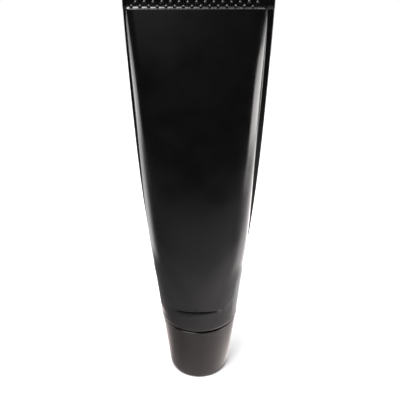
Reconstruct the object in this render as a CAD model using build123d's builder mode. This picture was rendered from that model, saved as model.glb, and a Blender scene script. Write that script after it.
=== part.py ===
"""Squeeze tube of shaving cream that stands on its tapered screw cap.

The origin is the centre of the cap's flat standing face, +Z runs up the tube's axis, X runs across
the flat tail seal and the broad front of the tube looks towards -Y. Millimetres throughout.
"""

import os
from math import pi, sqrt

from build123d import *

os.makedirs("parts", exist_ok=True)

# ---- driving dimensions -------------------------------------------------------------------------

# Sleeve: a round tube whose outline keeps its length while it is pressed flat towards the tail.
sleeve_diameter = 38.0
sleeve_wall = 0.5
sleeve_corner_radius = 2.0      # the lower end turns in over the shoulder
sleeve_lip_radius = 15.0        # and stops here as a flat lip
sleeve_round_height = 4.0       # from the lower end up to where the pressing starts
sleeve_length = 140.5           # from the lower end to the start of the tail seal
seal_height = 6.5
seal_thickness = 1.1
slot_half_depth = 0.35          # half of the open slot where the inside ends below the seal
section_count = 9               # cross-sections along the pressed part

# Outer shell of the cap.
cap_height = 29.8
cap_top_radius = 18.4
cap_base_radius = 14.9
cap_wall = 1.3
cap_floor = 1.6
cap_edge_fillet = 0.5
cap_rim_gap = 0.4               # open line between the cap's edge and the sleeve
stand_recess_radius = 11.5
stand_recess_depth = 0.5

# Screw thread shared by the neck and the insert: one right-hand start.
thread_lead = 3.0
thread_depth = 0.9
thread_root_width = 1.8
thread_crest_width = 0.8
thread_burial = 0.1             # how far a ridge's foot sinks into its wall
thread_clearance = 0.15         # crest to root, on the radius
neck_thread_turns = 1.25
insert_thread_turns = 0.75

# Tube head: skirt, shoulder and neck.
skirt_wall = 1.2
shoulder_wall = 1.3
shoulder_drop = 3.0             # fall of the shoulder's cone from the rim to the neck's foot
neck_radius = 6.7
neck_bore_radius = 5.0
neck_length = 12.5
neck_flare = 1.0                # widening of the bore where it meets the shoulder
outlet_radius = 3.0
outlet_wall = 1.2
neck_thread_start = 1.6         # from the neck's lip up to the middle of the thread's first turn

# Liner and threaded insert.
liner_radius = 7.4
liner_thickness = 1.0
liner_gap = 0.03                # free space above and below the liner
insert_floor = 1.4
insert_wall = 1.7
insert_top_gap = 1.4            # from the insert's mouth up to the neck's foot
insert_mouth_chamfer = 0.5
insert_foot_chamfer = 0.4

# Ribs and post inside the shell, which carry the insert.
rib_count = 6
rib_thickness = 1.2
rib_height = 21.3
key_depth = 0.5
key_clearance = 0.05
post_radius = 7.0
post_wall = 1.2

# Contents.
cream_clearance = 0.12
cream_fill = 0.93               # filled share of the pressed part's length
cream_collar = 1.0              # round stretch of the cream above the head


# ---- derived heights and radii --------------------------------------------------------------------

sleeve_radius = sleeve_diameter / 2
corner_centre_radius = sleeve_radius - sleeve_corner_radius
rim_z = cap_height + cap_rim_gap
corner_top_z = rim_z + sleeve_corner_radius
press_start_z = rim_z + sleeve_round_height
seal_start_z = rim_z + sleeve_length
press_length = seal_start_z - press_start_z
seal_width = pi * sleeve_radius

shoulder_foot_z = rim_z - shoulder_drop
neck_lip_z = shoulder_foot_z - neck_length
neck_thread_z = neck_lip_z + neck_thread_start

liner_top_z = neck_lip_z - liner_gap
insert_floor_z = liner_top_z - liner_thickness - liner_gap
insert_foot_z = insert_floor_z - insert_floor
insert_mouth_z = shoulder_foot_z - insert_top_gap
insert_thread_z = neck_thread_z + thread_lead / 2
insert_bore_radius = neck_radius + thread_depth + thread_clearance
insert_radius = insert_bore_radius + insert_wall
rib_top_z = cap_floor + rib_height


def half_width(half_depth):
    """Half width of an oval of a given half depth whose outline is as long as the round sleeve's."""
    low, high = sleeve_radius, seal_width / 2
    for _ in range(50):
        middle = (low + high) / 2
        root = sqrt((3 * middle + half_depth) * (middle + 3 * half_depth))
        if 3 * (middle + half_depth) - root < 2 * sleeve_radius:
            low = middle
        else:
            high = middle
    return middle


def oval_sections(length, inset):
    """Cross-sections of the pressed part over a length, each moved inwards by an inset."""
    sections = []
    for step in range(section_count):
        height = length * step / (section_count - 1)
        pressed = height / press_length
        half_depth = sleeve_radius * (1 - pressed) + seal_thickness / 2 * pressed
        with BuildSketch(Plane.XY.offset(press_start_z + height)) as section:
            Ellipse(half_width(half_depth) - inset, half_depth - inset)
        sections.append(section.sketch.face())
    return sections


def thread_ridge(wall_radius, start_z, turns, depth):
    """Right-hand ridge on a round wall: a positive depth stands outwards, a negative one inwards."""
    foot = -thread_burial if depth > 0 else thread_burial
    with BuildPart() as ridge:
        with BuildLine() as path:
            Helix(thread_lead, thread_lead * turns, wall_radius, center=(0, 0, start_z))
        with BuildSketch(Plane(origin=path.line @ 0, x_dir=(1, 0, 0), z_dir=path.line % 0)):
            with BuildLine():
                Polyline(
                    (foot, -thread_root_width / 2),
                    (depth, -thread_crest_width / 2),
                    (depth, thread_crest_width / 2),
                    (foot, thread_root_width / 2),
                    close=True,
                )
            make_face()
        sweep(path=path.line, is_frenet=True)
    return ridge.part


# ---- tube sleeve ----------------------------------------------------------------------------------

slot_pressed = (sleeve_radius - sleeve_wall - slot_half_depth) / (sleeve_radius - seal_thickness / 2)
lip_top_z = rim_z + sleeve_wall

with BuildPart() as tube_sleeve:
    loft(oval_sections(press_length, 0))
    with BuildSketch(Plane.XY.offset(seal_start_z)):
        Rectangle(seal_width, seal_thickness)
    extrude(amount=seal_height)
    loft(oval_sections(press_length * slot_pressed, sleeve_wall), mode=Mode.SUBTRACT)
    # Turned-in lower end: a quarter circle and a short flat lip.
    with BuildSketch(Plane.XZ):
        with BuildLine():
            Line((sleeve_lip_radius, rim_z), (corner_centre_radius, rim_z))
            CenterArc((corner_centre_radius, corner_top_z), sleeve_corner_radius, -90, 90)
            Polyline(
                (sleeve_radius, corner_top_z),
                (sleeve_radius, press_start_z),
                (sleeve_radius - sleeve_wall, press_start_z),
                (sleeve_radius - sleeve_wall, corner_top_z),
            )
            CenterArc(
                (corner_centre_radius, corner_top_z), sleeve_corner_radius - sleeve_wall, 0, -90
            )
            Polyline(
                (corner_centre_radius, lip_top_z),
                (sleeve_lip_radius, lip_top_z),
                (sleeve_lip_radius, rim_z),
            )
        make_face()
    revolve(axis=Axis.Z)
tube_sleeve.part.label = "tube_sleeve"
export_step(tube_sleeve.part, "parts/tube_sleeve.step")


# ---- tube head ------------------------------------------------------------------------------------

skirt_radius = sleeve_radius - sleeve_wall
skirt_inner_radius = skirt_radius - skirt_wall
shoulder_top_z = lip_top_z + shoulder_wall
outlet_top_z = neck_lip_z + outlet_wall
flare_foot_z = shoulder_foot_z - neck_flare / 2
flare_top_z = shoulder_foot_z + shoulder_wall + neck_flare / 2
flare_radius = neck_bore_radius + neck_flare

with BuildPart() as tube_head:
    with BuildSketch(Plane.XZ):
        with BuildLine():
            Polyline(
                (outlet_radius, neck_lip_z),
                (neck_radius, neck_lip_z),
                (neck_radius, shoulder_foot_z),
                (sleeve_lip_radius, rim_z),
                (sleeve_lip_radius, lip_top_z),
                (corner_centre_radius, lip_top_z),
            )
            CenterArc(
                (corner_centre_radius, corner_top_z), sleeve_corner_radius - sleeve_wall, -90, 90
            )
            Polyline(
                (skirt_radius, corner_top_z),
                (skirt_radius, press_start_z),
                (skirt_inner_radius, press_start_z),
                (skirt_inner_radius - skirt_wall, shoulder_top_z),
                (sleeve_lip_radius, shoulder_top_z),
                (flare_radius, flare_top_z),
                (neck_bore_radius, flare_foot_z),
                (neck_bore_radius, outlet_top_z),
                (outlet_radius, outlet_top_z),
                (outlet_radius, neck_lip_z),
            )
        make_face()
    revolve(axis=Axis.Z)
    add(thread_ridge(neck_radius, neck_thread_z, neck_thread_turns, thread_depth))
tube_head.part.label = "tube_head"
export_step(tube_head.part, "parts/tube_head.step")


# ---- contents -------------------------------------------------------------------------------------

collar_radius = skirt_inner_radius - 2 * cream_clearance
cream_neck_radius = neck_bore_radius - cream_clearance
cream_outlet_radius = outlet_radius - cream_clearance
cream_ledge_z = shoulder_top_z + cream_clearance

with BuildPart() as shaving_cream:
    loft(oval_sections(press_length * cream_fill, sleeve_wall + cream_clearance))
    # The head's skirt stands just below the cream's broad underside.
    with BuildSketch(Plane.XY.offset(press_start_z)):
        Circle(sleeve_radius)
        Circle(collar_radius, mode=Mode.SUBTRACT)
    extrude(amount=cream_clearance, mode=Mode.SUBTRACT)
    # Cream inside the skirt, the shoulder, the neck and the outlet.
    with BuildSketch(Plane.XZ):
        with BuildLine():
            Polyline(
                (0, neck_lip_z + cream_clearance),
                (cream_outlet_radius, neck_lip_z + cream_clearance),
                (cream_outlet_radius, outlet_top_z + cream_clearance),
                (cream_neck_radius, outlet_top_z + cream_clearance),
                (cream_neck_radius, flare_foot_z + cream_clearance),
                (flare_radius - cream_clearance, flare_top_z + cream_clearance),
                (sleeve_lip_radius - cream_clearance, cream_ledge_z),
                (collar_radius - skirt_wall, cream_ledge_z),
                (collar_radius, press_start_z),
                (collar_radius, press_start_z + cream_collar),
                (0, press_start_z + cream_collar),
                close=True,
            )
        make_face()
    revolve(axis=Axis.Z)
shaving_cream.part.label = "shaving_cream"
export_step(shaving_cream.part, "parts/shaving_cream.step")


# ---- cap liner ------------------------------------------------------------------------------------

with BuildPart() as cap_liner:
    with BuildSketch(Plane.XY.offset(liner_top_z)):
        Circle(liner_radius)
    extrude(amount=-liner_thickness)
cap_liner.part.label = "cap_liner"
export_step(cap_liner.part, "parts/cap_liner.step")


# ---- threaded insert ------------------------------------------------------------------------------

key_top_z = rib_top_z + key_clearance

with BuildPart() as cap_insert:
    with BuildSketch(Plane.XY.offset(insert_foot_z)):
        Circle(insert_radius)
    extrude(amount=insert_mouth_z - insert_foot_z)
    with BuildSketch(Plane.XY.offset(insert_floor_z)):
        Circle(insert_bore_radius)
    extrude(amount=insert_mouth_z - insert_floor_z, mode=Mode.SUBTRACT)
    insert_rings = cap_insert.edges().filter_by(GeomType.CIRCLE).group_by(Axis.Z)
    chamfer(insert_rings[-1].sort_by(SortBy.RADIUS)[0], length=insert_mouth_chamfer)
    chamfer(insert_rings[0], length=insert_foot_chamfer)
    # Keyways for the shell's ribs, open at the foot.
    with BuildSketch(Plane.XY.offset(insert_foot_z)):
        with PolarLocations(insert_radius, rib_count):
            Rectangle(2 * key_depth, rib_thickness + 2 * key_clearance)
    extrude(amount=key_top_z - insert_foot_z, mode=Mode.SUBTRACT)
    add(thread_ridge(insert_bore_radius, insert_thread_z, insert_thread_turns, -thread_depth))
cap_insert.part.label = "cap_insert"
export_step(cap_insert.part, "parts/cap_insert.step")


# ---- outer shell of the cap -----------------------------------------------------------------------

taper = (cap_top_radius - cap_base_radius) / cap_height
rib_inner_radius = insert_radius - key_depth + key_clearance
rib_foot_radius = cap_base_radius - cap_wall / 2 + taper * cap_floor
rib_head_radius = cap_base_radius - cap_wall / 2 + taper * rib_top_z

with BuildPart() as ribs:
    with BuildSketch(Plane.XY.offset(cap_floor)):
        with PolarLocations(rib_inner_radius, rib_count):
            Rectangle(cap_top_radius, rib_thickness, align=(Align.MIN, Align.CENTER))
    extrude(amount=rib_height)
    # The ribs end half way through the shell's sloping wall.
    with BuildSketch(Plane.XZ):
        Polygon(
            (0, cap_floor),
            (rib_foot_radius, cap_floor),
            (rib_head_radius, rib_top_z),
            (0, rib_top_z),
            align=None,
        )
    revolve(axis=Axis.Z, mode=Mode.INTERSECT)

with BuildPart() as cap_shell:
    with BuildSketch(Plane.XZ):
        Polygon(
            (0, 0),
            (cap_base_radius, 0),
            (cap_top_radius, cap_height),
            (cap_top_radius - cap_wall, cap_height),
            (cap_base_radius - cap_wall + taper * cap_floor, cap_floor),
            (0, cap_floor),
            align=None,
        )
    revolve(axis=Axis.Z)
    shell_rings = cap_shell.edges().filter_by(GeomType.CIRCLE).group_by(Axis.Z)
    fillet(shell_rings[0] + shell_rings[-1], cap_edge_fillet)
    # Shallow recess under the floor, so that the cap stands on a ring.
    with BuildSketch(Plane.XY):
        Circle(stand_recess_radius)
    extrude(amount=stand_recess_depth, mode=Mode.SUBTRACT)
    # Round post under the insert.
    with BuildSketch(Plane.XY.offset(cap_floor)):
        Circle(post_radius)
        Circle(post_radius - post_wall, mode=Mode.SUBTRACT)
    extrude(amount=insert_foot_z - key_clearance - cap_floor)
    add(ribs.part)
cap_shell.part.label = "cap_shell"
export_step(cap_shell.part, "parts/cap_shell.step")
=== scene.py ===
"""Looks of a black squeeze tube of shaving cream that stands on its tapered screw cap.

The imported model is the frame: every piece below is built in its metres, around its bodies. The
sleeve, its knurled tail seal, the cream and the cap's outer shell are modelled here; the tube head,
the liner and the threaded insert keep their own meshes and get their finishes.
"""

import logging
import math
from dataclasses import dataclass
from enum import Enum
from typing import Callable, Sequence

import bpy
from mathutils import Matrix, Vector, noise


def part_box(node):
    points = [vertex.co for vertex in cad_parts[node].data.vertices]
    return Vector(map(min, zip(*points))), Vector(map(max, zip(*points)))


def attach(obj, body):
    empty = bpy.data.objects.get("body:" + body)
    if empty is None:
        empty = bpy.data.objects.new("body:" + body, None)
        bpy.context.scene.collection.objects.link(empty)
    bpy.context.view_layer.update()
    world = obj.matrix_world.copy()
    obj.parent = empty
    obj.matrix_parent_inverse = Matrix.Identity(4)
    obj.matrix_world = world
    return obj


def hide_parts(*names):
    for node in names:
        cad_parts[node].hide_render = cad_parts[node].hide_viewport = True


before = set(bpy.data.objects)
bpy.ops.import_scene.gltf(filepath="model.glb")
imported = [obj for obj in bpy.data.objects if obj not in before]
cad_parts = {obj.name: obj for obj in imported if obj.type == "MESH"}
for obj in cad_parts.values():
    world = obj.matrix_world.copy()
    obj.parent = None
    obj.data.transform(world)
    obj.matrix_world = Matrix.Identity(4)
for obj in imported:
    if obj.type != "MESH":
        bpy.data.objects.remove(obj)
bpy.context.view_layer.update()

MM = 0.001

Point = tuple[float, float, float]
Colour = tuple[float, float, float]

log = logging.getLogger("shaving_cream_tube")


class Body(Enum):
    """Rigid bodies of the frame that pieces ride on."""

    TUBE = "tube"
    LINER = "liner"
    CAP = "cap"


class Slot(Enum):
    """Material slots of the record."""

    SLEEVE = "sleeve_plastic"
    HEAD = "head_plastic"
    CAP = "cap_plastic"
    INSERT = "insert_plastic"
    LINER = "liner_foam"
    CREAM = "cream"


# ---- small maths ----------------------------------------------------------------------------------


def clamp(value: float, low: float = 0.0, high: float = 1.0) -> float:
    """Value held between two limits."""
    return max(low, min(high, value))


def smooth_step(low: float, high: float, value: float) -> float:
    """0 below low, 1 above high and an S-curve between them; low may be above high."""
    share = clamp((value - low) / (high - low))
    return share * share * (3 - 2 * share)


def bell(value: float, width: float) -> float:
    """Smooth bump of height 1 round zero, about twice the width across."""
    return math.exp(-((value / width) ** 2))


def arc_points(centre: tuple[float, float], radius: float, start: float, end: float,
               steps: int) -> list[tuple[float, float]]:
    """Points along an arc in a half-section.

    Args:
        centre: Radius and height of the arc's centre.
        radius: Radius of the arc.
        start: First angle in degrees, 0 pointing outwards and 90 upwards.
        end: Last angle in degrees.
        steps: Number of spans between the first and the last point.

    Returns:
        Pairs of radius and height, ends included.
    """
    points = []
    for step in range(steps + 1):
        angle = math.radians(start + (end - start) * step / steps)
        points.append((centre[0] + radius * math.cos(angle), centre[1] + radius * math.sin(angle)))
    return points


# ---- mesh helpers ---------------------------------------------------------------------------------


def make_object(name: str, vertices: Sequence[Point], faces: Sequence[Sequence[int]],
                smooth: bool = True) -> bpy.types.Object:
    """Mesh object at the origin, linked to the scene.

    Args:
        name: Name of the object and its mesh.
        vertices: Vertex places in metres.
        faces: Vertex numbers of each face, anticlockwise from outside.
        smooth: Whether the faces are shaded smooth.

    Returns:
        The new object.
    """
    mesh = bpy.data.meshes.new(name)
    mesh.from_pydata(list(vertices), [], list(faces))
    mesh.validate()
    mesh.polygons.foreach_set("use_smooth", [smooth] * len(mesh.polygons))
    mesh.update()
    piece = bpy.data.objects.new(name, mesh)
    bpy.context.scene.collection.objects.link(piece)
    return piece


def ring_strip(rings: int, around: int) -> list[tuple[int, int, int, int]]:
    """Quads that join rings of vertices one after another, closed round each ring."""
    faces = []
    for row in range(rings - 1):
        for column in range(around):
            following = (column + 1) % around
            low, high = row * around, (row + 1) * around
            faces.append((low + column, low + following, high + following, high + column))
    return faces


def zip_ring(first: int, around: int, last: bool) -> list[tuple[int, ...]]:
    """Faces that close a flat ring by joining its front half to its back half.

    Args:
        first: Number of the ring's first vertex, which lies at one side fold.
        around: Number of vertices in the ring.
        last: Whether the ring is the last of its stack rather than the first.

    Returns:
        One triangle at each side fold and quads between them.
    """
    half = around // 2
    faces: list[tuple[int, ...]] = [(first, first + 1, first + around - 1)]
    for step in range(1, half - 1):
        near, far = first + step, first + around - step
        faces.append((near, near + 1, far - 1, far))
    faces.append((first + half - 1, first + half, first + half + 1))
    return faces if last else [tuple(reversed(face)) for face in faces]


def bake_modifiers(piece: bpy.types.Object) -> None:
    """Turn a piece's evaluated shape into its own plain mesh and drop its modifiers."""
    depsgraph = bpy.context.evaluated_depsgraph_get()
    mesh = bpy.data.meshes.new_from_object(piece.evaluated_get(depsgraph), depsgraph=depsgraph)
    piece.modifiers.clear()
    old = piece.data
    piece.data = mesh
    mesh.name = piece.name
    bpy.data.meshes.remove(old)


# ---- shader helpers -------------------------------------------------------------------------------


class Shader:
    """A material's node tree under construction, read in the object's own metres."""

    def __init__(self, name: str) -> None:
        """Start an empty material.

        Args:
            name: Name of the material.
        """
        self.material = bpy.data.materials.new(name)
        self.material.use_nodes = True
        self.tree = self.material.node_tree
        self.tree.nodes.clear()
        self.output = self.tree.nodes.new("ShaderNodeOutputMaterial")
        self.surface = self.tree.nodes.new("ShaderNodeBsdfPrincipled")
        self.tree.links.new(self.surface.outputs["BSDF"], self.output.inputs["Surface"])
        self.coordinates = self.tree.nodes.new("ShaderNodeTexCoord").outputs["Object"]

    def link(self, source: bpy.types.NodeSocket, target: bpy.types.NodeSocket) -> None:
        """Join an output to an input."""
        self.tree.links.new(source, target)

    def stretched(self, scale: Point, place: Point = (0, 0, 0)) -> bpy.types.NodeSocket:
        """Object coordinates multiplied per axis, for streaks.

        Args:
            scale: Factor along X, Y and Z.
            place: Offset added after scaling.

        Returns:
            The mapped vector.
        """
        mapping = self.tree.nodes.new("ShaderNodeMapping")
        mapping.inputs["Scale"].default_value = scale
        mapping.inputs["Location"].default_value = place
        self.link(self.coordinates, mapping.inputs["Vector"])
        return mapping.outputs["Vector"]

    def noise(self, feature: float, detail: float = 3.0, roughness: float = 0.5,
              vector: bpy.types.NodeSocket | None = None, distortion: float = 0.0,
              ) -> bpy.types.NodeSocket:
        """Fractal noise from 0 to 1.

        Args:
            feature: Size of its features in metres, or in the vector's own units.
            detail: Number of finer layers.
            roughness: Strength of the finer layers.
            vector: Coordinates to read, the object's own when left out.
            distortion: Strength of its swirls.

        Returns:
            The noise value.
        """
        node = self.tree.nodes.new("ShaderNodeTexNoise")
        node.inputs["Scale"].default_value = 1.0 / feature
        node.inputs["Detail"].default_value = detail
        node.inputs["Roughness"].default_value = roughness
        node.inputs["Distortion"].default_value = distortion
        self.link(vector or self.coordinates, node.inputs["Vector"])
        return node.outputs["Fac"]

    def cells(self, feature: float, vector: bpy.types.NodeSocket | None = None,
              ) -> bpy.types.NodeSocket:
        """Distance to the nearest point of a scattered set, in units of the feature size."""
        node = self.tree.nodes.new("ShaderNodeTexVoronoi")
        node.inputs["Scale"].default_value = 1.0 / feature
        self.link(vector or self.coordinates, node.inputs["Vector"])
        return node.outputs["Distance"]

    def remap(self, value: bpy.types.NodeSocket, source: tuple[float, float],
              target: tuple[float, float]) -> bpy.types.NodeSocket:
        """Value moved from one range to another and held inside it."""
        node = self.tree.nodes.new("ShaderNodeMapRange")
        node.inputs["From Min"].default_value, node.inputs["From Max"].default_value = source
        node.inputs["To Min"].default_value, node.inputs["To Max"].default_value = target
        self.link(value, node.inputs["Value"])
        return node.outputs["Result"]

    def combine(self, operation: str, first: bpy.types.NodeSocket | float,
                second: bpy.types.NodeSocket | float) -> bpy.types.NodeSocket:
        """Result of a two-input maths node whose inputs are sockets or plain numbers."""
        node = self.tree.nodes.new("ShaderNodeMath")
        node.operation = operation
        for index, value in enumerate((first, second)):
            if isinstance(value, (int, float)):
                node.inputs[index].default_value = value
            else:
                self.link(value, node.inputs[index])
        return node.outputs["Value"]

    def attribute(self, name: str) -> bpy.types.NodeSocket:
        """Value of a mesh attribute."""
        node = self.tree.nodes.new("ShaderNodeAttribute")
        node.attribute_name = name
        return node.outputs["Fac"]

    def ramp(self, value: bpy.types.NodeSocket, stops: Sequence[tuple[float, Colour]],
             ) -> bpy.types.NodeSocket:
        """Colour read from a row of stops.

        Args:
            value: Place along the row, from 0 to 1.
            stops: Place and linear colour of each stop, in rising order.

        Returns:
            The colour.
        """
        node = self.tree.nodes.new("ShaderNodeValToRGB")
        elements = node.color_ramp.elements
        while len(elements) < len(stops):
            elements.new(1.0)
        for element, (place, colour) in zip(elements, stops):
            element.position = place
            element.color = (*colour, 1.0)
        self.link(value, node.inputs["Fac"])
        return node.outputs["Color"]

    def colour(self, value: bpy.types.NodeSocket, stops: Sequence[tuple[float, Colour]]) -> None:
        """Drive the base colour by a row of stops."""
        self.link(self.ramp(value, stops), self.surface.inputs["Base Color"])

    def roughness(self, value: bpy.types.NodeSocket, low: float, high: float) -> None:
        """Drive the roughness between two values by a value from 0 to 1."""
        self.link(self.remap(value, (0.0, 1.0), (low, high)), self.surface.inputs["Roughness"])

    def bumps(self, layers: Sequence[tuple[bpy.types.NodeSocket, float]]) -> None:
        """Chain bump layers into the surface normal.

        Args:
            layers: Height value from 0 to 1 and its real height in metres, coarsest first.
        """
        normal = None
        for height, depth in layers:
            node = self.tree.nodes.new("ShaderNodeBump")
            node.inputs["Distance"].default_value = depth
            self.link(height, node.inputs["Height"])
            if normal is not None:
                self.link(normal, node.inputs["Normal"])
            normal = node.outputs["Normal"]
        self.link(normal, self.surface.inputs["Normal"])

    def set(self, **values: float) -> None:
        """Set constant inputs of the surface, with spaces in their names as underscores."""
        for name, value in values.items():
            self.surface.inputs[name.replace("_", " ")].default_value = value


# ---- finishes -------------------------------------------------------------------------------------


@dataclass(frozen=True)
class SatinSleeve:
    """Satin black polyethylene of the sleeve: extrusion lines, handling marks and bright folds."""

    black: Colour = (0.0012, 0.0012, 0.0015)
    worn: Colour = (0.012, 0.0115, 0.0125)
    roughness: tuple[float, float] = (0.15, 0.28)
    grain: float = 0.35 * MM
    grain_height: float = 0.004 * MM
    ripple: float = 16 * MM
    ripple_height: float = 0.10 * MM

    def material(self) -> bpy.types.Material:
        """Material whose folds and seal edges are worn where the mesh's wear attribute says so."""
        shader = Shader("satin_black_sleeve")
        blotch = shader.noise(9 * MM, detail=5, roughness=0.62, distortion=0.4)
        lines = shader.noise(1.0, detail=2, vector=shader.stretched((2600, 2600, 45)))
        rub = shader.noise(1.0, detail=4, roughness=0.7, vector=shader.stretched((320, 320, 900)))
        wear = shader.combine("MULTIPLY", shader.attribute("wear"), shader.remap(rub, (0.35, 0.7), (0, 1)))
        tone = shader.combine("ADD", shader.remap(blotch, (0.3, 0.8), (0.0, 0.08)), wear)
        shader.colour(tone, ((0.0, self.black), (1.0, self.worn)))
        dull = shader.combine("ADD", shader.remap(blotch, (0.25, 0.75), (0.0, 0.7)),
                              shader.combine("MULTIPLY", lines, 0.25))
        dull = shader.combine("ADD", dull, shader.combine("MULTIPLY", wear, 0.5))
        shader.roughness(dull, *self.roughness)
        shader.bumps((
            (shader.noise(self.ripple, detail=1), self.ripple_height),
            (lines, self.grain_height * 0.6),
            (shader.noise(self.grain, detail=3, roughness=0.6), self.grain_height),
        ))
        shader.set(IOR=1.5)
        return shader.material


@dataclass(frozen=True)
class GlossCap:
    """Semi-gloss black polypropylene of the cap: faint flow marks, hairlines and a rubbed foot."""

    black: Colour = (0.0062, 0.0048, 0.0053)
    rubbed: Colour = (0.022, 0.019, 0.020)
    roughness: tuple[float, float] = (0.10, 0.24)
    rubbed_height: float = 2.2 * MM

    def material(self) -> bpy.types.Material:
        """Material for the cap's shell and ribs."""
        shader = Shader("gloss_black_cap")
        axes = shader.tree.nodes.new("ShaderNodeSeparateXYZ")
        shader.link(shader.coordinates, axes.inputs["Vector"])
        foot = shader.remap(axes.outputs["Z"], (0.0, self.rubbed_height), (1.0, 0.0))
        blotch = shader.noise(7 * MM, detail=4, roughness=0.6, distortion=0.3)
        speck = shader.noise(0.7 * MM, detail=3, roughness=0.7)
        rub = shader.combine("MULTIPLY", foot, shader.remap(speck, (0.42, 0.62), (0, 1)))
        flow = shader.noise(1.0, detail=3, vector=shader.stretched((90, 90, 420)), distortion=0.6)
        shader.colour(
            shader.combine("ADD", shader.remap(blotch, (0.3, 0.8), (0.0, 0.2)), rub),
            ((0.0, self.black), (1.0, self.rubbed)),
        )
        hairline = shader.noise(1.0, detail=1, vector=shader.stretched((5200, 5200, 500)))
        dull = shader.combine("ADD", shader.remap(blotch, (0.25, 0.75), (0.0, 0.55)), rub)
        dull = shader.combine("ADD", dull, shader.remap(hairline, (0.68, 0.8), (0.0, 0.45)))
        shader.roughness(dull, *self.roughness)
        shader.bumps((
            (flow, 0.02 * MM),
            (shader.noise(0.9 * MM, detail=2), 0.0022 * MM),
            (hairline, 0.0008 * MM),
        ))
        shader.set(IOR=1.49)
        return shader.material


@dataclass(frozen=True)
class MouldedPlastic:
    """Plain moulded plastic with a spark-eroded grain and faint tool rings."""

    name: str
    dark: Colour
    light: Colour
    roughness: tuple[float, float] = (0.34, 0.55)
    grain: float = 0.25 * MM

    def material(self) -> bpy.types.Material:
        """Material for the tube head or the threaded insert."""
        shader = Shader(self.name)
        blotch = shader.noise(3 * MM, detail=4, roughness=0.6)
        rings = shader.noise(1.0, detail=2, vector=shader.stretched((40, 40, 2600)))
        shader.colour(blotch, ((0.3, self.dark), (0.75, self.light)))
        shader.roughness(shader.combine("ADD", blotch, shader.combine("MULTIPLY", rings, 0.3)),
                         *self.roughness)
        shader.bumps((
            (rings, 0.006 * MM),
            (shader.noise(self.grain, detail=3, roughness=0.6), 0.005 * MM),
        ))
        shader.set(IOR=1.5)
        return shader.material


@dataclass(frozen=True)
class FoamLiner:
    """White closed-cell foam of the cap's liner."""

    skin: Colour = (0.78, 0.78, 0.75)
    shade: Colour = (0.62, 0.62, 0.59)
    cell: float = 0.30 * MM

    def material(self) -> bpy.types.Material:
        """Material with pinched cells."""
        shader = Shader("white_foam_liner")
        cells = shader.cells(self.cell)
        shader.colour(cells, ((0.0, self.skin), (0.75, self.shade)))
        shader.roughness(cells, 0.62, 0.85)
        shader.bumps(((cells, 0.05 * MM), (shader.noise(0.08 * MM, detail=2), 0.01 * MM)))
        return shader.material


@dataclass(frozen=True)
class MoistCream:
    """White shaving cream: soft, slightly translucent and moist."""

    peak: Colour = (0.90, 0.89, 0.86)
    fold: Colour = (0.80, 0.79, 0.76)
    lump: float = 4 * MM

    def material(self) -> bpy.types.Material:
        """Material with soft lumps and fine bubbles."""
        shader = Shader("moist_white_cream")
        lumps = shader.noise(self.lump, detail=4, roughness=0.55, distortion=0.5)
        bubbles = shader.cells(0.5 * MM)
        shader.colour(lumps, ((0.3, self.fold), (0.7, self.peak)))
        shader.roughness(lumps, 0.30, 0.5)
        shader.bumps(((lumps, 0.25 * MM), (bubbles, 0.02 * MM)))
        shader.set(Subsurface_Weight=0.3, Subsurface_Scale=0.002)
        return shader.material


@dataclass(frozen=True)
class PaleFloor:
    """Pale matt sheet that the tube stands on, with a painted glow that grows far away so that it fades
    into the backdrop.
    """

    pale: Colour = (0.86, 0.86, 0.87)
    shade: Colour = (0.83, 0.83, 0.84)
    glow: float = 0.9
    glow_reach: tuple[float, float] = (0.2, 2.2)

    def material(self) -> bpy.types.Material:
        """Material of the floor."""
        shader = Shader("pale_floor")
        blotch = shader.noise(60 * MM, detail=4)
        shader.colour(blotch, ((0.3, self.shade), (0.7, self.pale)))
        shader.roughness(blotch, 0.55, 0.7)
        shader.bumps(((shader.noise(0.8 * MM, detail=3), 0.01 * MM),))
        away = shader.tree.nodes.new("ShaderNodeVectorMath")
        away.operation = "LENGTH"
        shader.link(shader.coordinates, away.inputs[0])
        # painted glow: the floor emits light, more the farther it lies from the tube
        glow = shader.remap(away.outputs["Value"], self.glow_reach, (0.0, self.glow))
        shader.link(glow, shader.surface.inputs["Emission Strength"])
        shader.surface.inputs["Emission Color"].default_value = (0.95, 0.95, 0.96, 1.0)
        return shader.material


# ---- geometry-node helpers ------------------------------------------------------------------------


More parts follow.
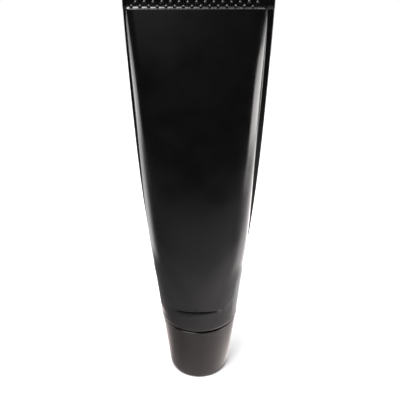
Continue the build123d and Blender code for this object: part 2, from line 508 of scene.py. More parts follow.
class Recipe:
    """A geometry-node tree under construction, with named inputs for its sizes."""

    def __init__(self, name: str) -> None:
        """Start a tree that takes and gives geometry.

        Args:
            name: Name of the tree.
        """
        self.tree = bpy.data.node_groups.new(name, "GeometryNodeTree")
        self.tree.interface.new_socket("Geometry", in_out="INPUT", socket_type="NodeSocketGeometry")
        self.tree.interface.new_socket("Geometry", in_out="OUTPUT", socket_type="NodeSocketGeometry")
        self.inputs = self.tree.nodes.new("NodeGroupInput")
        self.values: dict[str, float] = {}

    def size(self, name: str, value: float) -> bpy.types.NodeSocket:
        """Named input of the tree: a whole number makes an integer input, any other a float.

        Args:
            name: Name of the input.
            value: Value that the modifier gets.

        Returns:
            The input as a socket inside the tree.
        """
        kind = "NodeSocketInt" if isinstance(value, int) else "NodeSocketFloat"
        self.tree.interface.new_socket(name, in_out="INPUT", socket_type=kind)
        self.values[name] = value
        return self.inputs.outputs[name]

    def node(self, kind: str, settings: dict[str, object] | None = None,
             **sockets: object) -> bpy.types.Node:
        """New node.

        Args:
            kind: Blender's name of the node type.
            settings: Properties of the node itself.
            sockets: Inputs by name, spaces as underscores, each a socket or a constant.

        Returns:
            The node.
        """
        node = self.tree.nodes.new(kind)
        for name, value in (settings or {}).items():
            setattr(node, name, value)
        for name, value in sockets.items():
            self.feed(node.inputs[name.replace("_", " ")], value)
        return node

    def feed(self, target: bpy.types.NodeSocket, value: object) -> None:
        """Link a socket to an input, or set the input to a constant."""
        if isinstance(value, bpy.types.NodeSocket):
            self.tree.links.new(value, target)
        else:
            target.default_value = value

    def maths(self, operation: str, *operands: object) -> bpy.types.NodeSocket:
        """Result of a maths node on sockets and constants."""
        node = self.node("ShaderNodeMath", {"operation": operation})
        for target, value in zip(node.inputs, operands):
            self.feed(target, value)
        return node.outputs["Value"]

    def vector(self, x: object = 0.0, y: object = 0.0, z: object = 0.0) -> bpy.types.NodeSocket:
        """Vector made of sockets and constants."""
        return self.node("ShaderNodeCombineXYZ", X=x, Y=y, Z=z).outputs["Vector"]

    def finish(self, geometry: bpy.types.NodeSocket, finish: bpy.types.Material) -> None:
        """End the tree in Realize Instances and Set Material.

        Args:
            geometry: What the tree makes.
            finish: Material that it gets.
        """
        real = self.node("GeometryNodeRealizeInstances", Geometry=geometry)
        dressed = self.node("GeometryNodeSetMaterial", Geometry=real.outputs["Geometry"])
        dressed.inputs["Material"].default_value = finish
        output = self.tree.nodes.new("NodeGroupOutput")
        self.tree.links.new(dressed.outputs["Geometry"], output.inputs["Geometry"])

    def cook(self, piece: bpy.types.Object) -> None:
        """Run the tree on a piece with its named inputs set, and keep the plain mesh.

        Args:
            piece: Object whose mesh goes in and comes out.
        """
        modifier = piece.modifiers.new(self.tree.name, "NODES")
        modifier.node_group = self.tree
        for item in self.tree.interface.items_tree:
            if item.name in self.values:
                modifier[item.identifier] = self.values[item.name]
        bake_modifiers(piece)


# ---- sleeve ---------------------------------------------------------------------------------------


@dataclass
class PressedSleeve:
    """The flexible sleeve: round at the head, pressed flat to a knurled tail seal.

    Its outline keeps its length at every height, so it widens as it is pressed. Flat panels with
    round shoulders stand between thin side fins, and one sharp crease crosses the front.
    """

    wall: float = 0.5 * MM
    corner_radius: float = 2.0 * MM
    lip_radius: float = 15.0 * MM
    round_height: float = 4.0 * MM
    seal_height: float = 6.5 * MM
    seal_half: float = 0.55 * MM
    ledge_half: float = 1.45 * MM
    fin_half: float = 0.42 * MM
    belly: float = 0.45 * MM
    waist: float = 0.30 * MM
    crease_height: float = 11.3 * MM
    crease_half_width: float = 11.6 * MM
    crease_droop: float = 1.0 * MM
    crease_depth: float = 0.34 * MM
    panel_dent: float = 0.10 * MM
    around: int = 256
    fin_columns: int = 10
    dash_scale: tuple[float, float] = (0.86, 1.08)
    dash_jitter: float = 0.16

    def __post_init__(self) -> None:
        """Take the heights and the radius from the frame's sleeve."""
        low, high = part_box("tube_sleeve")
        self.rim = low[2]
        self.top = high[2]
        self.half_seal_width = high[0]
        self.radius = 2 * self.half_seal_width / math.pi
        self.corner_top = self.rim + self.corner_radius
        self.press_start = self.rim + self.round_height
        self.seal_start = self.top - self.seal_height
        self.crease = self.rim + self.crease_height

    def pressed(self, height: float) -> float:
        """How far the sleeve is pressed at a height, from 0, round, to 1, flat."""
        return clamp((height - self.press_start) / (self.seal_start - self.press_start))

    def half_width(self, half_depth: float) -> float:
        """Half width of an oval of a given half depth whose outline is as long as the round one."""
        low, high = self.radius, self.half_seal_width
        for _ in range(40):
            middle = (low + high) / 2
            root = math.sqrt((3 * middle + half_depth) * (middle + 3 * half_depth))
            if 3 * (middle + half_depth) - root < 2 * self.radius:
                low = middle
            else:
                high = middle
        return middle

    def fold_share(self, right: bool, pressed: float) -> float:
        """Where the panel's shoulder meets the side fin, as a share of the half width."""
        fold, tail = (0.085, 0.0) if right else (0.045, 0.015)
        return 1 - fold * smooth_step(0.0, 0.6, pressed) + tail * smooth_step(0.65, 1.0, pressed)

    def profile(self, share: float, right: bool, pressed: float) -> float:
        """Depth of the wall across one half of a section, as a share of the half depth.

        Args:
            share: Distance from the middle as a share of the half width.
            right: Whether the point is on the right half.
            pressed: How far the section is pressed.

        Returns:
            Depth between 0 at the side fold and 1 in the middle.
        """
        power = 2 + 1.2 * smooth_step(0.03, 0.3, pressed)
        start = 0.73 - 0.06 * smooth_step(0.5, 0.85, pressed) if right else 0.79
        end = self.fold_share(right, pressed)
        oval = max(0.0, 1 - (share / end) ** power) ** (1 / power)
        shoulder = math.sqrt(1 - clamp((share - start) / (end - start)) ** 2)
        amount = smooth_step(0.5, 0.92, pressed)
        return (1 - amount) * oval + amount * shoulder

    def dent(self, x: float, height: float) -> float:
        """Inward depth of the front wall's dents at a place across and up the tube.

        Args:
            x: Place across the tube.
            height: Height above the floor.

        Returns:
            Depth in metres.
        """
        along = height - (self.crease - self.crease_droop * (x / self.crease_half_width) ** 2)
        reach = 1 - smooth_step(self.crease_half_width - 1.6 * MM, self.crease_half_width + 0.6 * MM,
                                abs(x))
        soft_reach = math.exp(-((x / (1.25 * self.crease_half_width)) ** 4))
        fall = 9 * MM if along >= 0 else 0.75 * MM
        push = self.panel_dent * soft_reach * math.exp(-abs(along) / fall)
        below = smooth_step(0.06 * MM, -0.06 * MM, along)
        step = self.crease_depth * reach * below * math.exp(min(along, 0.0) / (0.62 * MM))
        lip = -0.05 * MM * reach * (bell(along - 0.5 * MM, 0.5 * MM) + bell(along + 2.4 * MM, 0.9 * MM))
        return push + step + lip + self.small_marks(x, along)

    def small_marks(self, x: float, along: float) -> float:
        """Depth of the pinch above the crease, the pit below it and the folds off its ends."""
        pinch = 0.14 * MM * bell(x + 1.9 * MM, 0.38 * MM)
        pinch *= smooth_step(0.3 * MM, 0.9 * MM, along) * smooth_step(3.6 * MM, 2.8 * MM, along)
        pit = 0.12 * MM * bell(math.hypot(x + 1.3 * MM, along + 3.9 * MM), 0.6 * MM)
        folds = 0.0
        for side, slope, depth in ((1, 1.1, -0.22 * MM), (-1, 0.5, 0.12 * MM)):
            out = side * x - self.crease_half_width
            off = (along - slope * out) / math.hypot(1, slope)
            fade = smooth_step(-0.5 * MM, 0.6 * MM, out) * smooth_step(5.5 * MM, 2.5 * MM, out)
            folds += depth * fade * bell(off, 0.55 * MM)
        return pinch + pit + folds

    def waviness(self, x: float, height: float, front: bool) -> float:
        """Slow unevenness of the soft wall, outwards when positive."""
        seed = 0.37 if front else 5.11
        slow = noise.noise(Vector((x / (21 * MM), height / (34 * MM), seed)))
        quick = noise.noise(Vector((x / (9 * MM), height / (13 * MM), seed + 3)))
        return (0.22 * slow + 0.05 * quick) * MM

    def point(self, column: int, around: int, height: float, inset: float = 0.0) -> Point:
        """Point of the pressed part's wall.

        Args:
            column: Number of the point round the section, from the right fold over the back.
            around: Number of points round the section.
            height: Height above the floor.
            inset: Distance inside the outer face.

        Returns:
            The point in metres.
        """
        pressed = self.pressed(height)
        half_depth = self.radius * (1 - pressed) + self.ledge_half * pressed
        if height > self.seal_start:
            half_depth = self.seal_half
        half_width = self.half_width(min(half_depth, self.radius))
        half_width += self.belly * bell(pressed - 0.45, 0.26) - self.waist * bell(pressed - 0.13, 0.1)
        angle = 2 * math.pi * column / around
        across, rise = math.cos(angle), abs(math.sin(angle))
        fold = self.fold_share(across > 0, pressed)
        edge = math.cos(2 * math.pi * self.fin_columns / around)
        share = abs(across)
        spread = share * fold / edge if share < edge else 1 - (1 - share) * (1 - fold) / (1 - edge)
        share += (spread - share) * smooth_step(0.05, 0.3, pressed)
        x = math.copysign(half_width * share, across)
        front = math.sin(angle) < 0
        depth = half_depth * self.profile(share, across > 0, pressed)
        fin = self.fin_half * smooth_step(0.15, 0.6, pressed) * math.sqrt(min(1.0, rise * 9))
        depth = max(depth, fin)
        if height > self.seal_start:
            depth = self.seal_half * math.sqrt(min(1.0, rise * 12))
        elif 0 < column < around and column != around // 2:
            calm = smooth_step(0.0, 0.1, pressed) * smooth_step(1.0, 0.9, pressed)
            depth += self.waviness(x, height, front) * calm * min(1.0, rise * 3)
            if front:
                depth -= self.dent(x, height) * min(1.0, rise * 3)
        depth = max(depth - inset * min(1.0, rise * 9), 0.0)
        x *= (half_width - inset) / half_width
        return (x, -depth if front else depth, height)

    def circle(self, radius: float, height: float, around: int) -> list[Point]:
        """Round ring of points."""
        angles = [2 * math.pi * column / around for column in range(around)]
        return [(radius * math.cos(angle), radius * math.sin(angle), height) for angle in angles]

    def heights(self, end: float) -> list[float]:
        """Heights of the rings up the pressed part, closest at the crease and below the seal."""
        rows = [self.press_start]
        while rows[-1] < end:
            from_crease = rows[-1] - self.crease
            near_seal = self.seal_start - rows[-1] < 2.0 * MM
            step = 0.25 * MM if near_seal or -5 * MM < from_crease < 4 * MM else 0.8 * MM
            if -1.7 * MM < from_crease < 0.3 * MM:
                step = 0.07 * MM
            rows.append(min(rows[-1] + step, end))
        return rows

    def wear(self, point: Point) -> float:
        """How worn a point of the outside is, from 0 to 1."""
        x, _, height = point
        pressed = self.pressed(height)
        half_width = self.half_width(self.radius * (1 - pressed) + self.seal_half * pressed)
        fold = smooth_step(0.975, 0.998, abs(x) / half_width) * smooth_step(0.3, 0.8, pressed)
        top = smooth_step(self.top - 0.5 * MM, self.top, height)
        ledge = bell(height - self.seal_start, 0.35 * MM)
        rim = bell(height - self.rim - 0.8 * MM, 0.8 * MM)
        return clamp(0.7 * fold + top + 0.5 * ledge + 0.3 * rim)

    def build_skin(self) -> bpy.types.Object:
        """Closed mesh of the sleeve: inside wall, turned-in lip, outside wall and tail seal."""
        around = self.around
        centre = self.radius - self.corner_radius
        slot_top = self.seal_start - 4 * MM
        rings = [[self.point(column, around, height, self.wall) for column in range(around)]
                 for height in reversed(self.heights(slot_top)[::4])]
        middle = (self.corner_top + self.press_start) / 2
        half_section = [(self.radius - self.wall, middle)]
        half_section += arc_points((centre, self.corner_top), self.corner_radius - self.wall, 0, -90, 5)
        half_section += [(self.lip_radius, self.rim + self.wall), (self.lip_radius, self.rim)]
        half_section += arc_points((centre, self.corner_top), self.corner_radius, -90, 0, 10)
        half_section += [(self.radius, middle)]
        rings += [self.circle(radius, height, around) for radius, height in half_section]
        seal_rows = [self.seal_start + 0.12 * MM, self.seal_start + 1.6 * MM,
                     self.seal_start + 3.2 * MM, self.top - 1.5 * MM, self.top - 0.15 * MM]
        for height in self.heights(self.seal_start) + seal_rows:
            rings.append([self.point(column, around, height) for column in range(around)])
        edge = [(x, 0.72 * y, self.top) for x, y, _ in rings[-1]]
        rings.append(edge)
        vertices = [point for ring in rings for point in ring]
        faces: list[tuple[int, ...]] = list(ring_strip(len(rings), around))
        faces += zip_ring(0, around, last=False)
        faces += zip_ring(len(vertices) - around, around, last=True)
        skin = make_object("sleeve_skin", vertices, faces)
        layer = skin.data.attributes.new("wear", "FLOAT", "POINT")
        layer.data.foreach_set("value", [self.wear(point) for point in vertices])
        return skin

    def build_knurl(self, finish: bpy.types.Material) -> bpy.types.Object:
        """Staggered raised dashes on both faces of the tail seal."""
        recipe = Recipe("seal_knurl")
        columns = recipe.size("Columns", 15)
        rows = recipe.size("Rows", 4)
        pitch = recipe.size("Pitch", 3.4 * MM)
        row_pitch = recipe.size("Row pitch", 1.55 * MM)
        length = recipe.size("Dash length", 1.3 * MM)
        height = recipe.size("Dash height", 1.8 * MM)
        rise = recipe.size("Rise", 0.42 * MM)
        slant = recipe.size("Slant", -0.5)
        tilt = recipe.size("Tilt", -0.3)
        lean = recipe.size("Lean", -0.5)
        half = recipe.size("Half thickness", self.seal_half)
        middle = recipe.size("Middle height", (self.seal_start + self.top) / 2)
        shift = recipe.size("Shift", -2.6 * MM)
        seed = recipe.size("Seed", 11)
        grid = recipe.node(
            "GeometryNodeMeshGrid",
            Size_X=recipe.maths("MULTIPLY", recipe.maths("SUBTRACT", columns, 1), pitch),
            Size_Y=recipe.maths("MULTIPLY", recipe.maths("SUBTRACT", rows, 1), row_pitch),
            Vertices_X=columns, Vertices_Y=rows,
        )
        index = recipe.node("GeometryNodeInputIndex").outputs["Index"]
        row = recipe.maths("MODULO", index, rows)
        stagger = recipe.maths("MULTIPLY", recipe.maths("MODULO", row, 2.0),
                               recipe.maths("MULTIPLY", pitch, 0.5))
        points = recipe.node("GeometryNodeSetPosition", Geometry=grid.outputs["Mesh"],
                             Offset=recipe.vector(x=stagger))
        dash = recipe.node("GeometryNodeMeshUVSphere", Segments=10, Rings=6, Radius=0.5)
        scale = recipe.node("FunctionNodeRandomValue", {"data_type": "FLOAT"}, Seed=seed)
        scale.inputs[2].default_value, scale.inputs[3].default_value = self.dash_scale
        jitter = recipe.node("FunctionNodeRandomValue", {"data_type": "FLOAT"}, Seed=seed)
        jitter.inputs[2].default_value = -self.dash_jitter
        jitter.inputs[3].default_value = self.dash_jitter
        turned = recipe.vector(recipe.maths("ADD", tilt, jitter.outputs[1]), lean, slant)
        shaped = recipe.node(
            "GeometryNodeTransform", Geometry=dash.outputs["Mesh"],
            Scale=recipe.vector(length, height, recipe.maths("MULTIPLY", rise, 2.0)),
        )
        spread = recipe.node("GeometryNodeInstanceOnPoints", Points=points.outputs["Geometry"],
                             Instance=shaped.outputs["Geometry"], Scale=scale.outputs[1],
                             Rotation=turned)
        faces = []
        for side in (-1, 1):
            place = recipe.vector(shift, recipe.maths("MULTIPLY", half, side), middle)
            stood = recipe.node("GeometryNodeTransform", Geometry=spread.outputs["Instances"],
                                Translation=place, Rotation=(math.pi / 2, 0, 0))
            faces.append(stood.outputs["Geometry"])
        both = recipe.node("GeometryNodeJoinGeometry")
        for face in faces:
            recipe.tree.links.new(face, both.inputs["Geometry"])
        smooth = recipe.node("GeometryNodeSetShadeSmooth", Geometry=both.outputs["Geometry"])
        recipe.finish(smooth.outputs["Geometry"], finish)
        knurl = make_object("seal_knurl", [(0, 0, 0)], [])
        recipe.cook(knurl)
        return knurl

    def build(self) -> list[bpy.types.Object]:
        """Make and dress the sleeve and its knurl, and put them on the tube."""
        finish = SatinSleeve().material()
        skin = self.build_skin()
        skin.data.materials.append(finish)
        knurl = self.build_knurl(finish)
        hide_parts("tube_sleeve")
        for piece in (skin, knurl):
            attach(piece, Body.TUBE.value)
        return [skin, knurl]


@dataclass
class CreamFill:
    """The cream inside: a soft body that follows the sleeve, the shoulder and the neck."""

    sleeve: PressedSleeve
    gap: float = 0.35 * MM
    around: int = 96
    row_step: float = 2.2 * MM
    fill: float = 0.93

    def build(self) -> list[bpy.types.Object]:
        """Make and dress the cream, and put it on the tube."""
        sleeve = self.sleeve
        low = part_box("shaving_cream")[0][2]
        head_low, head_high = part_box("tube_head")
        skirt = head_high[0] - 1.5 * MM
        shoulder_top = sleeve.rim + 2.0 * MM
        half_section = [
            (2.75 * MM, low + 0.05 * MM), (2.85 * MM, low + 0.35 * MM), (2.85 * MM, head_low[2] + 1.4 * MM),
            (4.8 * MM, head_low[2] + 1.7 * MM), (4.8 * MM, sleeve.rim - 3.4 * MM),
            (5.8 * MM, sleeve.rim - 0.9 * MM), (14.8 * MM, shoulder_top),
            (skirt - 1.3 * MM, shoulder_top + 0.1 * MM), (skirt, sleeve.press_start + 0.1 * MM),
        ]
        rings = [sleeve.circle(radius, height, self.around) for radius, height in half_section]
        end = sleeve.press_start + self.fill * (sleeve.seal_start - sleeve.press_start)
        height = sleeve.press_start + 1.2 * MM
        while height < end:
            rings.append([sleeve.point(column, self.around, height, sleeve.wall + self.gap)
                          for column in range(self.around)])
            height += self.row_step
        vertices = [point for ring in rings for point in ring]
        faces: list[tuple[int, ...]] = list(ring_strip(len(rings), self.around))
        faces += zip_ring(0, self.around, last=False)
        faces += zip_ring(len(vertices) - self.around, self.around, last=True)
        cream = make_object("cream_fill", vertices, faces)
        cream.data.materials.append(MoistCream().material())
        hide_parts("shaving_cream")
        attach(cream, Body.TUBE.value)
        return [cream]


# ---- cap ------------------------------------------------------------------------------------------


@dataclass
class ScrewCap:
    """The tapered outer shell that the tube stands on, turned from one half-section, and its ribs."""

    wall: float = 1.3 * MM
    floor: float = 1.6 * MM
    base_radius: float = 14.9 * MM
    rim_radius: float = 18.4 * MM
    rim_fillet: float = 0.4 * MM
    foot_fillet: float = 0.7 * MM
    recess_radius: float = 11.5 * MM
    recess_depth: float = 0.5 * MM
    post_radius: float = 7.0 * MM
    post_wall: float = 1.2 * MM
    rib_count: int = 6
    rib_thickness: float = 1.2 * MM
    rib_height: float = 21.3 * MM
    rib_inner_radius: float = 9.02 * MM
    segments: int = 160
    steps: int = 5

    def __post_init__(self) -> None:
        """Take the heights from the frame's shell and insert."""
        self.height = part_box("cap_shell")[1][2]
        self.post_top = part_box("cap_insert")[0][2] - 0.05 * MM

    @property
    def taper(self) -> float:
        """Widening of the cap's radius for each metre of height."""
        return (self.rim_radius - self.base_radius) / self.height

    def half_section(self) -> list[tuple[float, float]]:
        """Radius and height of the shell's outline, from the middle of its foot to its floor."""
        lean = math.degrees(math.atan(self.taper))
        rim, foot, steps = self.rim_fillet, self.foot_fillet, self.steps
        outer_rim = self.rim_radius - rim * (1 + 0.1 * self.taper)
        inner_rim = self.rim_radius - self.wall + rim
        recess, drop = self.recess_radius, self.recess_depth
        gate, gate_rise, soft = 1.1 * MM, 0.18 * MM, 0.25 * MM
        outline = [(0.0, drop - gate_rise), (gate, drop - gate_rise), (gate + soft, drop)]
        outline += [(recess - 2.6 * MM, drop), (recess - 2.4 * MM, drop - 0.12 * MM),
                    (recess - 2.0 * MM, drop - 0.12 * MM), (recess - 1.8 * MM, drop)]
        outline += [(recess - soft, drop), (recess, drop - soft)]
        outline += arc_points((recess + soft, soft), soft, 180, 270, 3)
        foot_centre = (self.base_radius - foot * (1 - self.taper), foot)
        outline += arc_points(foot_centre, foot, -90, -lean, steps)
        outline += arc_points((outer_rim, self.height - rim), rim, -lean, 90, steps)
        outline += arc_points((inner_rim, self.height - rim), rim, 90, 180, steps)
        inner_foot = self.base_radius - self.wall + self.taper * self.floor
        outline += [(inner_foot + 0.12 * MM, self.floor + 1.0 * MM)]
        outline += arc_points((inner_foot - 0.6 * MM, self.floor + 0.6 * MM), 0.6 * MM, 0, -90, 3)
        post, top = self.post_radius, self.post_top
        outline += [(post, self.floor), (post, top - soft), (post - soft, top),
                    (post - self.post_wall + soft, top), (post - self.post_wall, top - soft),
                    (post - self.post_wall, self.floor), (0.0, self.floor)]
        return outline

    def build_shell(self, finish: bpy.types.Material) -> bpy.types.Object:
        """Turn the half-section round the axis with a curve-to-mesh tree."""
        recipe = Recipe("turned_cap_shell")
        segments = recipe.size("Segments", self.segments)
        spindle = recipe.size("Spindle radius", 10.0 * MM)
        weld = recipe.size("Weld distance", 0.002 * MM)
        outline = recipe.node("GeometryNodeMeshToCurve", Mesh=recipe.inputs.outputs["Geometry"])
        shifted = recipe.node("GeometryNodeTransform", Geometry=outline.outputs["Curve"],
                              Translation=recipe.vector(x=recipe.maths("MULTIPLY", spindle, -1.0)))
        circle = recipe.node("GeometryNodeCurvePrimitiveCircle", Resolution=segments, Radius=spindle)
        turned = recipe.node("GeometryNodeCurveToMesh", Curve=circle.outputs["Curve"],
                             Profile_Curve=shifted.outputs["Geometry"])
        welded = recipe.node("GeometryNodeMergeByDistance", Geometry=turned.outputs["Mesh"],
                             Distance=weld)
        turned_out = recipe.node("GeometryNodeFlipFaces", Mesh=welded.outputs["Geometry"])
        smooth = recipe.node("GeometryNodeSetShadeSmooth", Geometry=turned_out.outputs["Mesh"])
        recipe.finish(smooth.outputs["Geometry"], finish)
        points = [(radius, -height, 0.0) for radius, height in self.half_section()]
        shell = bpy.data.objects.new("cap_outer_shell", bpy.data.meshes.new("cap_outer_shell"))
        shell.data.from_pydata(points, [(n, n + 1) for n in range(len(points) - 1)], [])
        bpy.context.scene.collection.objects.link(shell)
        recipe.cook(shell)
        shell.data.set_sharp_from_angle(angle=math.radians(50))
        return shell

    def build_ribs(self, finish: bpy.types.Material) -> bpy.types.Object:
        """Set copies of one tapered rib round the axis with an instancing tree."""
        recipe = Recipe("cap_rib_ring")
        count = recipe.size("Ribs", self.rib_count)
        index = recipe.node("GeometryNodeInputIndex").outputs["Index"]
        turn = recipe.maths("DIVIDE", recipe.maths("MULTIPLY", index, 2 * math.pi), count)
        points = recipe.node("GeometryNodePoints", Count=count)
        ring = recipe.node("GeometryNodeInstanceOnPoints", Points=points.outputs["Points"],
                           Instance=recipe.inputs.outputs["Geometry"], Rotation=recipe.vector(z=turn))
        recipe.finish(ring.outputs["Instances"], finish)
        top = self.floor + self.rib_height
        inside = self.base_radius - 0.6 * self.wall
        outline = [(self.rib_inner_radius, self.floor - 0.2 * MM),
                   (inside + self.taper * self.floor, self.floor - 0.2 * MM),
                   (inside + self.taper * top, top), (self.rib_inner_radius + 0.5 * MM, top),
                   (self.rib_inner_radius, top - 0.5 * MM)]
        half, sides = self.rib_thickness / 2, len(outline)
        vertices = [(x, -half, z) for x, z in outline] + [(x, half, z) for x, z in outline]
        faces = [tuple(range(sides)), tuple(range(2 * sides - 1, sides - 1, -1))]
        faces += [(n, sides + n, sides + (n + 1) % sides, (n + 1) % sides) for n in range(sides)]
        ribs = make_object("cap_ribs", vertices, faces, smooth=False)
        recipe.cook(ribs)
        return ribs

    def build(self) -> list[bpy.types.Object]:
        """Make and dress the shell and its ribs, and put them on the cap."""
        finish = GlossCap().material()
        shell, ribs = self.build_shell(finish), self.build_ribs(finish)
        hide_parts("cap_shell")
        for piece in (shell, ribs):
            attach(piece, Body.CAP.value)
        return [shell, ribs]


@dataclass
class FramePiece:
    """A part whose own mesh is right and only gets its finish."""

    node: str
    finish: MouldedPlastic | FoamLiner

    def build(self) -> list[bpy.types.Object]:
        """Dress the frame's own mesh."""
        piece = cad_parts[self.node]
        material = self.finish.material()
        for slot in piece.material_slots:
            slot.material = material
        return [piece]


# ---- studio ---------------------------------------------------------------------------------------


@dataclass(frozen=True)
class SoftBox:
    """A soft area light that looks at a point near the tube."""

    name: str
    azimuth: float
    elevation: float
    distance: float
    width: float
    height: float
    power: float
    colour: Colour = (1.0, 1.0, 1.0)
    target: Point = (0.0, 0.0, 0.09)

    def build(self) -> bpy.types.Object:
        """Place the light; azimuth 0 stands before the tube's front and 90 on its right."""
        light = bpy.data.lights.new(self.name, "AREA")
        light.shape = "RECTANGLE"
        light.size, light.size_y = self.width, self.height
        light.energy = self.power
        light.color = self.colour
        lamp = bpy.data.objects.new(self.name, light)
        turn, lift = math.radians(self.azimuth), math.radians(self.elevation)
        offset = Vector((math.sin(turn) * math.cos(lift), -math.cos(turn) * math.cos(lift),
                         math.sin(lift))) * self.distance
        lamp.location = Vector(self.target) + offset
        lamp.rotation_euler = (-offset).to_track_quat("-Z", "Y").to_euler()
        bpy.context.scene.collection.objects.link(lamp)
        return lamp


@dataclass(frozen=True)
class PaintedReflectionCard:
    """Painted reflection: a glowing sector of a flat ring round the tube's foot that lights nothing and is
    seen in the tube's gloss alone.
    """

    name: str
    radii: tuple[float, float]
    azimuths: tuple[float, float]
    glow: Sequence[tuple[float, float]]
    colour: Colour = (1.0, 1.0, 1.0)
    rise: float = 0.3 * MM
    spans: int = 24

    def build(self) -> bpy.types.Object:
        """Make the card; azimuth 0 lies before the tube's front and 90 on its right."""
        vertices = []
        for radius in self.radii:
            for step in range(self.spans + 1):
                turn = math.radians(self.azimuths[0]
                                    + (self.azimuths[1] - self.azimuths[0]) * step / self.spans)
                vertices.append((radius * math.sin(turn), -radius * math.cos(turn), self.rise))
        row = self.spans + 1
        faces = [(row + n, row + n + 1, n + 1, n) for n in range(self.spans)]
        card = make_object(self.name, vertices, faces, smooth=False)
        shader = Shader(self.name)
        axes = shader.tree.nodes.new("ShaderNodeSeparateXYZ")
        shader.link(shader.coordinates, axes.inputs["Vector"])
        towards = shader.combine("MULTIPLY", axes.outputs["Y"], -1.0)
        turn = shader.combine("ARCTAN2", axes.outputs["X"], towards)
        first, last = (math.radians(angle) for angle in self.azimuths)
        place = shader.remap(turn, (first, last), (0.0, 1.0))
        peak = max(level for _, level in self.glow)
        stops = [((angle - self.azimuths[0]) / (self.azimuths[1] - self.azimuths[0]),
                  tuple(level / peak * part for part in self.colour)) for angle, level in self.glow]
        shader.link(shader.ramp(place, stops), shader.surface.inputs["Emission Color"])
        shader.surface.inputs["Base Color"].default_value = (0.0, 0.0, 0.0, 1.0)
        shader.set(Roughness=1.0, Specular_IOR_Level=0.0, Emission_Strength=peak)
        card.data.materials.append(shader.material)
        # painted reflection: the card glows but is hidden from the camera, from diffuse light and from
        # shadows, so it shows only in gloss
        card.visible_camera = card.visible_diffuse = card.visible_shadow = False
        return card


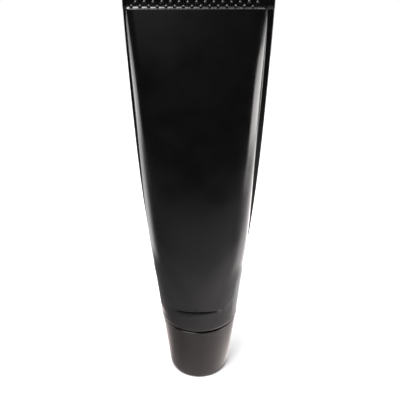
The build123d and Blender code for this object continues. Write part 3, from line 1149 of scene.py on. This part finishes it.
@dataclass
class Studio:
    """Pale floor, soft light and the camera."""

    floor_half: float = 3.0
    floor_front: float = 0.36
    camera_place: Point = (0.0005, -0.1842, 0.1628)
    camera_pitch: float = -21.5
    lens: float = 38.7
    surroundings: Colour = (1.0, 1.0, 1.0)

    def build_floor(self) -> bpy.types.Object:
        """Flat pale sheet under the tube that ends a short way in front of it."""
        side, front = self.floor_half, -self.floor_front
        corners = [(-side, front, 0.0), (side, front, 0.0), (side, side, 0.0), (-side, side, 0.0)]
        floor = make_object("floor", corners, [(0, 1, 2, 3)], smooth=False)
        floor.data.materials.append(PaleFloor().material())
        return floor

    def build_world(self) -> None:
        """Dim even surroundings that look pale to the camera alone."""
        world = bpy.data.worlds.new("studio")
        bpy.context.scene.world = world
        world.use_nodes = True
        tree = world.node_tree
        tree.nodes.clear()
        output = tree.nodes.new("ShaderNodeOutputWorld")
        dim, pale = (tree.nodes.new("ShaderNodeBackground") for _ in range(2))
        dim.inputs["Color"].default_value = (0.5, 0.48, 0.47, 1.0)
        dim.inputs["Strength"].default_value = 0.05
        pale.inputs["Color"].default_value = (*self.surroundings, 1.0)
        path = tree.nodes.new("ShaderNodeLightPath")
        mix = tree.nodes.new("ShaderNodeMixShader")
        tree.links.new(path.outputs["Is Camera Ray"], mix.inputs["Fac"])
        tree.links.new(dim.outputs["Background"], mix.inputs[1])
        tree.links.new(pale.outputs["Background"], mix.inputs[2])
        tree.links.new(mix.outputs["Shader"], output.inputs["Surface"])

    def build_lights(self) -> None:
        """Large soft box overhead, low wide ones on both sides and two weak ones on the front left."""
        for box in (
            SoftBox("key_left", -40, 60, 0.90, 0.44, 0.40, 11.0, (1.0, 0.985, 0.97)),
            SoftBox("ceiling", 180, 80, 2.60, 3.2, 3.2, 110.0),
            SoftBox("side_right", 82, -3, 0.60, 0.66, 0.26, 5.4, (1.0, 0.97, 0.95)),
            SoftBox("side_left", -102, 5, 0.60, 0.66, 0.30, 2.6, (0.98, 0.98, 1.0)),
            SoftBox("front_left", -14, 22, 1.20, 0.50, 0.30, 0.16, (1.0, 0.97, 0.98)),
        ):
            box.build()

    def build_painted_reflections(self) -> None:
        """Painted reflections: glowing ring sectors round the foot, seen only in the tube's gloss; dim and
        warm in front, where they stand in for shade, and bright out on each side.

        Each stop below is an azimuth in degrees and a brightness.
        """
        near = ((-178, 2.6), (-150, 2.6), (-123, 2.4), (-106, 1.6), (-88, 0.85), (-74, 0.50),
                (-47, 0.48), (-23, 0.82), (0, 0.92), (23, 1.08), (47, 1.35), (62, 1.55), (74, 1.7),
                (92, 1.5), (106, 1.4), (123, 1.3), (147, 1.2), (170, 1.15))
        far = ((-178, 0.34), (-123, 0.30), (-93, 0.30), (-72, 0.42), (-45, 0.70), (-23, 0.9),
               (0, 1.05), (23, 1.1), (62, 1.2), (100, 1.15))
        front = ((-125, 0.30), (-94, 0.36), (-66, 0.36), (-53, 0.42), (-25, 0.60), (0, 1.05),
                 (30, 1.45), (47, 1.4), (56, 1.9), (68, 3.8), (80, 5.2), (95, 5.6))
        back = ((-125, 0.20), (-74, 0.20), (-46, 0.26), (-25, 0.34), (0, 0.52), (27, 0.62),
                (43, 0.45), (58, 0.6), (70, 1.6), (88, 2.9), (95, 3.2))
        right = ((88, 3.8), (108, 4.6), (165, 4.6))
        left = ((-178, 1.2), (-148, 1.3), (-128, 2.2), (-104, 4.6), (-91, 4.0), (-78, 1.4), (-68, 0.35))
        warm, cool = (1.0, 0.95, 0.95), (0.98, 0.98, 1.0)
        for card in (
            PaintedReflectionCard("card_near", (0.0155, 0.055), (-178, 170), near, (1.0, 0.90, 0.87), spans=40),
            PaintedReflectionCard("card_far", (0.055, 0.105), (-178, 100), far, warm),
            PaintedReflectionCard("card_front", (0.105, 0.21), (-125, 95), front, warm),
            PaintedReflectionCard("card_back", (0.21, 0.60), (-125, 95), back, warm),
            PaintedReflectionCard("card_right", (0.098, 0.60), (88, 165), right, warm, rise=0.5 * MM),
            PaintedReflectionCard("card_left", (0.128, 0.60), (-178, -66), left, cool, rise=0.5 * MM),
        ):
            card.build()

    def build_camera(self) -> None:
        """Camera that looks slightly down at the broad front."""
        data = bpy.data.cameras.new("camera")
        data.lens = self.lens
        data.sensor_width = 36.0
        data.clip_start = 0.01
        camera = bpy.data.objects.new("camera", data)
        camera.location = self.camera_place
        camera.rotation_euler = (math.radians(90 + self.camera_pitch), 0.0, 0.0)
        bpy.context.scene.collection.objects.link(camera)
        bpy.context.scene.camera = camera

    def build(self) -> None:
        """Set up the floor, the surroundings, the lights, the painted reflections and the camera."""
        self.build_floor()
        self.build_world()
        self.build_lights()
        self.build_painted_reflections()
        self.build_camera()
        bpy.context.scene.view_settings.view_transform = "Standard"


def main() -> None:
    """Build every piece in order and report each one."""
    logging.basicConfig(level=logging.INFO, format="%(name)s: %(message)s")
    sleeve = PressedSleeve()
    black = ((0.006, 0.006, 0.0065), (0.013, 0.013, 0.014))
    grey = ((0.030, 0.030, 0.032), (0.045, 0.045, 0.047))
    assemblies = (
        sleeve,
        CreamFill(sleeve),
        FramePiece("tube_head", MouldedPlastic("moulded_black_head", *black)),
        FramePiece("cap_liner", FoamLiner()),
        FramePiece("cap_insert", MouldedPlastic("moulded_grey_insert", *grey)),
        ScrewCap(),
    )
    for assembly in assemblies:
        for piece in assembly.build():
            log.info("%s: %d faces", piece.name, len(piece.data.polygons))
    Studio().build()


if __name__ == "__main__":
    main()
